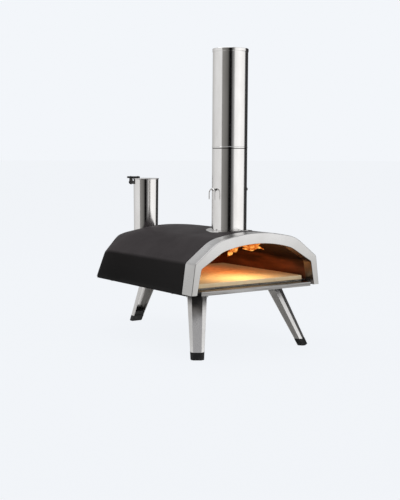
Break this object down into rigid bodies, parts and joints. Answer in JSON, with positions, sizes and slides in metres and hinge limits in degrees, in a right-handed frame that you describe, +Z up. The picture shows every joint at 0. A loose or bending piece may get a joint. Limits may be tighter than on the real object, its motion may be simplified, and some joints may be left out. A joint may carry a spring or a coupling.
{
  "type": "wood fired pizza oven",
  "caption": "Portable wood fired pizza oven: arched black shell with a brushed steel mouth, tall chimney with damper, rear fuel hopper, and folding splayed legs.",
  "frame": {"origin": "on the floor, under the centre of the whole oven", "axes": "+Z up, the mouth faces -Y, +X to the right seen from the front"},
  "size_m": [0.389, 0.662, 0.73],
  "materials": {
    "powder_coat": "satin",
    "brushed_stainless": "brushed",
    "polished_stainless": "polished",
    "inner_steel": "heat stained",
    "dark_steel": "satin",
    "zinc_hardware": "satin",
    "ceramic_fibre": "matte",
    "cordierite": "matte",
    "rubber": "matte",
    "black_plastic": "matte"
  },
  "bodies": {
    "oven": {"outer_shell": "powder_coat", "shell_sides": "powder_coat", "shell_tail_sides": "powder_coat", "shell_tail_middle": "powder_coat", "front_trim": "brushed_stainless", "joint_band": "dark_steel", "threshold": "brushed_stainless", "base_pan": "powder_coat", "base_screws": "zinc_hardware", "base_insulation": "ceramic_fibre", "shell_insulation": "ceramic_fibre", "chamber_floor": "inner_steel", "chamber_liner": "inner_steel", "rear_bulkhead": "inner_steel", "flame_deflector": "inner_steel", "flue_collar": "inner_steel", "chimney_flange": "polished_stainless", "flange_rivets": "zinc_hardware", "burner_housing": "powder_coat", "hatch_lugs": "dark_steel", "hatch_pin": "zinc_hardware", "hopper_collar": "brushed_stainless", "collar_rivets": "zinc_hardware", "bracket_rivets": "zinc_hardware", "leg_bracket_front_left": "dark_steel", "leg_pin_front_left": "zinc_hardware", "leg_bracket_front_right": "dark_steel", "leg_pin_front_right": "zinc_hardware", "leg_bracket_rear": "dark_steel", "leg_pin_rear": "zinc_hardware"},
    "stone": {"baking_stone": "cordierite"},
    "flue_lower": {"chimney_lower": "polished_stainless"},
    "flue_upper": {"chimney_upper": "polished_stainless", "chimney_rim": "polished_stainless"},
    "damper": {"damper_rod": "dark_steel", "damper_handle": "polished_stainless", "damper_disc": "inner_steel", "damper_screws": "zinc_hardware", "damper_cap": "dark_steel"},
    "hopper": {"hopper_tube": "polished_stainless", "lid_bracket": "brushed_stainless"},
    "lid": {"hopper_lid": "brushed_stainless", "lid_leaf": "dark_steel", "lid_tab": "black_plastic", "lid_rivets": "zinc_hardware", "lid_pin": "zinc_hardware"},
    "hatch": {"rear_hatch": "powder_coat", "hatch_knob": "black_plastic"},
    "tray": {"fuel_tray": "inner_steel", "fuel_grate": "inner_steel", "tray_handle": "brushed_stainless", "tray_grip": "black_plastic"},
    "leg_front_left": {"leg_front_left": "brushed_stainless", "foot_front_left": "rubber"},
    "leg_front_right": {"leg_front_right": "brushed_stainless", "foot_front_right": "rubber"},
    "leg_rear": {"leg_rear": "brushed_stainless", "foot_rear": "rubber"}
  },
  "joints": [
    {"name": "leg_front_left_fold", "type": "hinge", "parent": "oven", "child": "leg_front_left", "pos_m": [-0.1186, -0.2454, 0.1395], "axis": [0.8261, -0.5635, 0], "range_deg": [0, 118.4]},
    {"name": "leg_front_right_fold", "type": "hinge", "parent": "oven", "child": "leg_front_right", "pos_m": [0.1186, -0.2454, 0.1395], "axis": [0.8261, 0.5635, 0], "range_deg": [0, 118.4]},
    {"name": "leg_rear_fold", "type": "hinge", "parent": "oven", "child": "leg_rear", "pos_m": [0, 0.1447, 0.1395], "axis": [-1, 0, 0], "range_deg": [0, 120]},
    {"name": "stone_slide", "type": "slide", "parent": "oven", "child": "stone", "axis": [0, -1, 0], "range_m": [0, 0.34]},
    {"name": "chimney_lift", "type": "slide", "parent": "oven", "child": "flue_lower", "axis": [0, 0, 1], "range_m": [0, 0.06]},
    {"name": "chimney_top_lift", "type": "slide", "parent": "flue_lower", "child": "flue_upper", "axis": [0, 0, 1], "range_m": [0, 0.05]},
    {"name": "damper_turn", "type": "hinge", "parent": "flue_lower", "child": "damper", "pos_m": [0, -0.2132, 0.3897], "axis": [1, 0, 0], "range_deg": [0, 90]},
    {"name": "hopper_lift", "type": "slide", "parent": "oven", "child": "hopper", "axis": [0, 0, 1], "range_m": [0, 0.06]},
    {"name": "lid_open", "type": "hinge", "parent": "hopper", "child": "lid", "pos_m": [-0.03508, 0.19248, 0.3975], "axis": [-0.5344, -0.8453, 0], "range_deg": [0, 105]},
    {"name": "hatch_open", "type": "hinge", "parent": "oven", "child": "hatch", "pos_m": [0, 0.23687, 0.23609], "axis": [1, 0, 0], "range_deg": [0, 110]},
    {"name": "tray_slide", "type": "slide", "parent": "oven", "child": "tray", "axis": [0, 1, 0], "range_m": [0, 0.15]}
  ]
}
